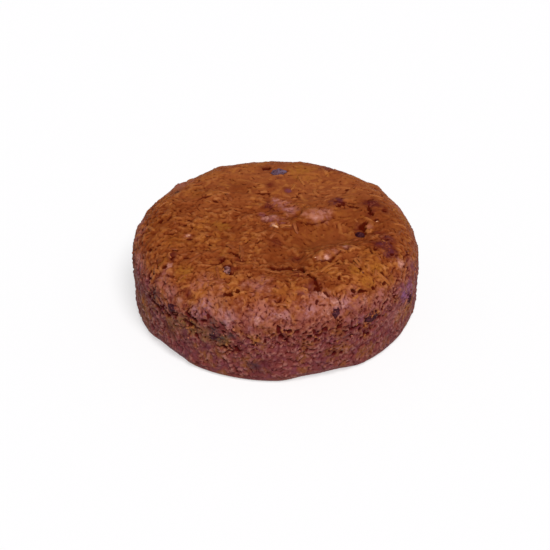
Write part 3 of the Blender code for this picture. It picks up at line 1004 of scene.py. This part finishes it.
# ------------------------------------------------------------------------------
# The raisins. Dried grapes with a thin, dark, wrinkled skin, stirred into the batter; the ones at
# the crust are baked into it and show a part of their backs.
# ------------------------------------------------------------------------------

RAISIN_ROUNDS = 3  # times that each CAD raisin is subdivided
RAISIN_CREASE = 0.7 * MM


def raisin_finish(name, dark, light):
    """A wrinkled skin in patches of two colours, a little waxy here and there."""
    finish, shader, place = new_finish(name, Specular_IOR_Level=0.06, Coat_Roughness=0.3)
    patch = place.speckle(3 * MM, 3, 0.6)
    fine = place.speckle(0.9 * MM, 3, 0.6)
    skin = (0.6 * patch + 0.4 * fine).step(0.38, 0.62).mix(dark, light)
    dress(shader, skin, 0.4 + 0.2 * fine, 0.1 * patch.step(0.5, 0.7), fine, 0.7, 0.4 * MM)
    return finish


def raisin_mesh(name):
    """The CAD raisin, subdivided, with creases pressed into its skin."""
    bm = bmesh.new()
    bm.from_mesh(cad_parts[name].data)
    bmesh.ops.remove_doubles(bm, verts=bm.verts, dist=0.01 * MM)
    bmesh.ops.dissolve_limit(bm, angle_limit=0.0001, verts=bm.verts, edges=bm.edges)
    cuts = 2**RAISIN_ROUNDS - 1
    bmesh.ops.subdivide_edges(bm, edges=bm.edges, cuts=cuts, smooth=1.0, use_grid_fill=True)
    bmesh.ops.triangulate(bm, faces=bm.faces)
    mesh = bpy.data.meshes.new(name + "_skin")
    bm.to_mesh(mesh)
    bm.free()
    mesh.shade_smooth()
    points = np.array([v.co for v in mesh.vertices])
    deep = 1 - np.abs(lumps(points, 3.4 * MM, 21)) * 2.2
    fine = 1 - np.abs(lumps(points, 1.7 * MM, 22)) * 2.2
    creases = np.clip(deep, 0, 1) + 0.4 * np.clip(fine, 0, 1)
    points += normals_of(mesh) * (-0.1 * MM - RAISIN_CREASE * creases)[:, None]
    mesh.vertices.foreach_set("co", points.ravel())
    mesh.update()
    return mesh


bare_skin = raisin_finish("raisin_finish", colour(44, 8, 14), colour(72, 32, 40))
# Raisins with a bloom, whose light patches are also a painted sheen
dust_and_sheen_skin = raisin_finish("dust_and_sheen_raisin_finish", colour(78, 50, 58), colour(104, 86, 106))
battered_skin = raisin_finish("battered_raisin_finish", colour(78, 22, 16), colour(120, 56, 34))
# A raisin whose light patches are painted glints
glint_painted_skin = raisin_finish("painted_glint_raisin_finish", colour(56, 20, 20), colour(148, 98, 92))
LOOKS = {"raisin_01": dust_and_sheen_skin, "raisin_03": glint_painted_skin, "raisin_10": bare_skin}
for name in RAISINS:
    skin = LOOKS.get(name, battered_skin if name in COVERED else bare_skin)
    raisin = new_piece(name + "_skin", raisin_mesh(name), skin)
    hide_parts(name)


# ------------------------------------------------------------------------------
# The shreds. Strips of grated carrot that stand a little out of the crust where the batter sank
# away from them in the oven: golden, flattened, curved, and dry at their edges.
# ------------------------------------------------------------------------------

STRIPS_OUT = 110
STRIP_STEPS = 10  # sections along a strip
STRIP_SIDES = 8  # points round a section
STRIP_THICKNESS = 1.0 * MM
STRIP_SHAKE = 0.16 * MM
DRY_EDGE = colour(168, 98, 44)

bed_tree = tree_of(bed)


def joined_mesh(name, piece_points, piece_faces, tones):
    """Many small closed pieces as one mesh, each with its own tone."""
    offsets = np.cumsum([0] + [len(points) for points in piece_points])
    numbered = zip(offsets, piece_faces)
    faces = [tuple(i + offset for i in face) for offset, own in numbered for face in own]
    mesh = new_mesh(name, np.concatenate(piece_points), faces)
    store(mesh, "tone", np.repeat(tones, [len(points) for points in piece_points]))
    return mesh


def strip_points(start, turn, length, width, bow):
    """Rings of points of one strip that creeps along the crust, bent by its bow."""
    along, across = axes_at(start, turn)
    bend = 4 * bow / length
    heading = along * cos(bend) + across * sin(bend)
    place = bed[start] - along * length / 2
    rings = []
    for run in np.linspace(-1, 1, STRIP_STEPS + 1):
        near = bed_tree.find(place)[1]
        normal = outwards[near]
        place = place - normal * ((place - bed[near]) @ normal)
        heading = heading - normal * (heading @ normal)
        heading /= np.linalg.norm(heading)
        aside = np.cross(normal, heading)
        centre = place + normal * STRIP_THICKNESS * (0.15 - 0.4 * run**4)
        slim = 1 - 0.85 * run**6
        for angle in np.arange(STRIP_SIDES) * 2 * pi / STRIP_SIDES:
            out, up = cos(angle) * width / 2 * slim, sin(angle) * STRIP_THICKNESS / 2 * slim
            rings.append(centre + aside * out + normal * up)
        heading = heading - aside * 2 * bend / STRIP_STEPS
        place = place + heading * length / STRIP_STEPS
    rings = np.array(rings)
    shake = np.stack([lumps(rings, 1.8 * MM, 91 + axis) for axis in range(3)], axis=1)
    return rings + STRIP_SHAKE * shake


def tube_faces(steps, sides):
    faces = [tuple(reversed(range(sides))), tuple(range(steps * sides, (steps + 1) * sides))]
    for step in range(steps):
        for k in range(sides):
            a, b = step * sides + k, step * sides + (k + 1) % sides
            faces.append((a, b, b + sides, a + sides))
    return faces


# They lie on some of the tallest ridges
weight = (0.4 + 0.6 * smooth(travels, 30 * MM, 70 * MM)) * (1 - smooth(travels, 84 * MM, 104 * MM))
weight *= (1 - 0.8 * hollow) * (1 - 0.7 * back) * (opening < 0.1) * (1 - gloss_and_painted_highlight)
weight *= np.clip(0.4 + lumps(places, 22 * MM, 61) + stains["amber"], 0.05, 2)
weight = weight[shred_spots] * (shred_heights > 0.8)
chosen = rng.choice(len(shred_spots), STRIPS_OUT, replace=False, p=weight / weight.sum())
lying = (shred_spots, shred_turns, shred_lengths, 0.7 * shred_widths, shred_bows)
strips = [strip_points(*(values[k] for values in lying)) for k in chosen]


def strip_finish():
    finish, shader, place = new_finish("carrot_finish", Specular_IOR_Level=0.15, Coat_Roughness=0.3)
    tone = attribute(place, "tone")
    fine = place.speckle(1.2 * MM, 3, 0.6)
    skin = browned(place, 0.3 + 0.6 * tone, 0.1)
    skin = (tone.step(0.4, 1.0) * 0.25).mix(skin, DRY_EDGE)
    dress(shader, skin, 0.5 + 0.2 * fine, 0.15 * fine.step(0.4, 0.7), fine, 0.6, 0.3 * MM)
    return finish


strip_faces = [tube_faces(STRIP_STEPS, STRIP_SIDES)] * len(strips)
strip_mesh = joined_mesh("carrot_shreds", strips, strip_faces, shred_tones[chosen])
new_piece("carrot_shreds", strip_mesh, strip_finish())


# ------------------------------------------------------------------------------
# The crumbs. Grains of the torn wall and shoulder that hang on by one side, each a rough lump of
# one to two millimetres.
# ------------------------------------------------------------------------------

CRUMBS = 750
CRUMB_DARK = colour(96, 42, 30)
CRUMB_LIGHT = colour(156, 90, 66)
CRUMB_GOLD = colour(140, 76, 36)


def crumb_lump():
    """A rough closed lump of unit size: its points and its faces."""
    bm = bmesh.new()
    bmesh.ops.create_icosphere(bm, subdivisions=2, radius=0.5)
    points = np.array([v.co for v in bm.verts])
    faces = [tuple(v.index for v in face.verts) for face in bm.faces]
    bm.free()
    return points, faces


lump, lump_faces = crumb_lump()
low_down = smooth(travels, 120 * MM, 135 * MM)
crumb_weight = 0.03 + smooth(travels, 80 * MM, 100 * MM) * (1 - 0.8 * low_down)
crumb_weight *= (travels < TRAVELS[2]) * off_base * (opening < 0.1)
crumb_spots = scatter(crumb_weight, CRUMBS, 1.6 * MM)
crumbs = []
for n in crumb_spots:
    size = rng.uniform(0.8, 1.8) * MM
    stretch = rng.uniform(0.7, 1.3, 3)
    spin = np.linalg.qr(rng.normal(size=(3, 3)))[0]
    own = lump * (1 + 0.35 * lumps(lump + rng.uniform(0, 50, 3), 0.5, 71))[:, None] * stretch
    crumbs.append(own @ spin * size + places[n] - outwards[n] * 0.38 * size)


def crumb_finish():
    finish, shader, place = new_finish("crumb_finish", Specular_IOR_Level=0.1, Coat_Roughness=0.4)
    tone = attribute(place, "tone")
    fine = place.speckle(0.9 * MM, 3, 0.6)
    skin = tone.step(0.2, 0.9).mix(CRUMB_DARK, CRUMB_LIGHT)
    skin = ((fine - 0.45) * 2).held().mix(skin, CRUMB_GOLD)
    dress(shader, skin, 0.5 + 0.2 * fine, 0.1 * tone, fine, 0.6, 0.3 * MM)
    return finish


crumb_tones = rng.uniform(0, 1, len(crumbs))
crumb_mesh = joined_mesh("crumbs", crumbs, [lump_faces] * len(crumbs), crumb_tones)
new_piece("crumbs", crumb_mesh, crumb_finish())


# ------------------------------------------------------------------------------
# The chips. A few flakes of chopped pale nut that were stirred into the batter and lie bare in the
# crust; their oil makes them shine a little.
# ------------------------------------------------------------------------------

NUT_PALE = colour(214, 160, 120)
NUT_TAN = colour(168, 104, 62)
CHIP_SHAPE = np.array([[1.0], [0.55], [0.4]])  # its length, width and thickness over its length
# Azimuth, travel, length and turn. Some chips sit where the crust shows bright glints, so their
# pale colour also stands in for painted highlights.
CHIPS = (
    (-94, 7, 4.6, 150), (2, 70, 2.4, 30), (-163, 62, 2.0, 10), (-50, 114, 1.8, 60),
    (-120, 65, 1.6, 0), (-60, 53, 1.6, 0), (60, 88, 2.6, 20), (115, 108, 2.8, 0),
    (15, 120, 2.4, 80),
)


def chip_points(azimuth, travel, length, turn):
    """A rough flake on the crust: a squashed lump with its flat side along the surface."""
    place, index, _ = bed_tree.find(spot_at(azimuth, travel))
    normal = Vector(outwards[index])
    level = Vector((1, 0, 0)) if abs(normal.z) > 0.7 else normal.cross((0, 0, 1)).normalized()
    level = (level - normal * level.dot(normal)).normalized()
    along = level * cos(radians(turn)) + normal.cross(level) * sin(radians(turn))
    axes = np.array((along, normal.cross(along), normal)) * CHIP_SHAPE * length * MM
    own = lump * (1 + 0.3 * lumps(lump + azimuth, 0.6, 81))[:, None]
    return own @ axes + np.array(place) + np.array(normal) * 0.1 * MM


def chip_finish():
    finish, shader, place = new_finish("chip_finish", Specular_IOR_Level=0.5, Coat_Roughness=0.2)
    patch = place.speckle(2.0 * MM, 3, 0.6)
    fine = place.speckle(0.8 * MM, 3, 0.6)
    skin = patch.step(0.35, 0.65).mix(NUT_PALE, NUT_TAN)
    dress(shader, skin, 0.35 + 0.2 * fine, 0.4 * patch, fine, 0.5, 0.3 * MM)
    return finish


chips = [chip_points(*chip) for chip in CHIPS]
chip_mesh = joined_mesh("nut_chips", chips, [lump_faces] * len(chips), np.zeros(len(chips)))
new_piece("nut_chips", chip_mesh, chip_finish())


# ------------------------------------------------------------------------------
# The studio: a pale floor, one broad soft light from the front and above, and a white surround. The
# camera stands in front of the cake and looks down on it.
# ------------------------------------------------------------------------------

FLOOR_SIZE = 8.0
FLOOR_GAP = 0.1 * MM  # below the base, so that the two faces don't lie in one plane
floor_mesh = bpy.data.meshes.new("floor")
half = FLOOR_SIZE / 2
corners = [(x * half, y * half, -FLOOR_GAP) for x, y in ((-1, -1), (1, -1), (1, 1), (-1, 1))]
floor_mesh.from_pydata(corners, [], [(0, 1, 2, 3)])
floor_finish, _, _ = new_finish(
    "floor_finish",
    Base_Color=(0.36, 0.36, 0.365, 1.0),
    Roughness=0.9,
    Emission_Color=(1.0, 1.0, 1.0, 1.0),
    Emission_Strength=0.57,
)
floor_mesh.materials.append(floor_finish)
floor = bpy.data.objects.new("floor", floor_mesh)
bpy.context.scene.collection.objects.link(floor)

KEY_ELEVATION, KEY_AZIMUTH = radians(57), radians(16)  # the azimuth is to the right of the camera
KEY_DISTANCE = 2.0
key = bpy.data.lights.new("key", "SUN")
key.energy, key.angle, key.color = 3.6, radians(28), (1.0, 0.98, 0.97)
key_holder = bpy.data.objects.new("key", key)
flat_share = cos(KEY_ELEVATION)
key_x, key_y = flat_share * sin(KEY_AZIMUTH), -flat_share * cos(KEY_AZIMUTH)
key_side = Vector((key_x, key_y, sin(KEY_ELEVATION)))
key_holder.location = key_side * KEY_DISTANCE
key_holder.rotation_euler = key_side.to_track_quat("Z", "Y").to_euler()
bpy.context.scene.collection.objects.link(key_holder)

world = bpy.data.worlds.new("surround")
world.use_nodes = True
surround = world.node_tree.nodes["Background"].inputs
surround["Color"].default_value = (0.93, 0.94, 1.0, 1.0)
surround["Strength"].default_value = 0.22
bpy.context.scene.world = world
bpy.context.scene.view_settings.view_transform = "Standard"

CAMERA_DISTANCE = 1.2
CAMERA_ELEVATION = radians(34.35)
LOOK_HEIGHT = 21.2 * MM
camera = bpy.data.objects.new("camera", bpy.data.cameras.new("camera"))
camera.data.sensor_width = 36
camera.data.lens = 111.3
camera.data.shift_x = -0.0009
camera.location = (
    0,
    -CAMERA_DISTANCE * cos(CAMERA_ELEVATION),
    LOOK_HEIGHT + CAMERA_DISTANCE * sin(CAMERA_ELEVATION),
)
camera.rotation_euler = (pi / 2 - CAMERA_ELEVATION, 0, 0)
bpy.context.scene.collection.objects.link(camera)
bpy.context.scene.camera = camera
